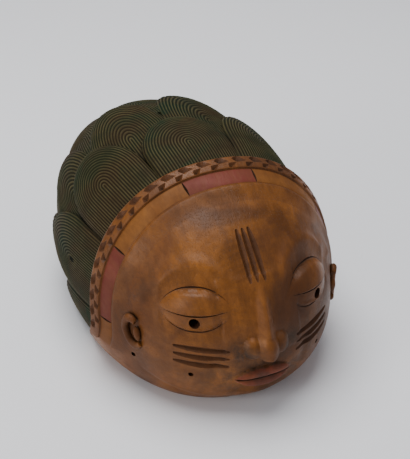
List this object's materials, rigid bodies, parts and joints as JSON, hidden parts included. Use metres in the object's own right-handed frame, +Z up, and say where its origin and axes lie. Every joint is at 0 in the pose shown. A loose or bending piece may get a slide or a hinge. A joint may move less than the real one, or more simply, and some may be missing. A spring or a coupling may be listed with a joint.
{
  "type": "gelede mask",
  "caption": "Carved wooden helmet mask with a calm face, a banded plait over the brow and hair in overlapping tongue-shaped locks, hollow below, worn on top of the head.",
  "frame": {"origin": "centre of the outline seen from above, on the plane the rim rests on", "axes": "+Z up through the crown, -Y the way the face looks, +X towards the mask's left side"},
  "size_m": [0.2099, 0.3387, 0.1705],
  "materials": {
    "carved_wood": "satin, painted in places"
  },
  "bodies": {
    "root": {"mask": "carved_wood"}
  },
  "joints": []
}
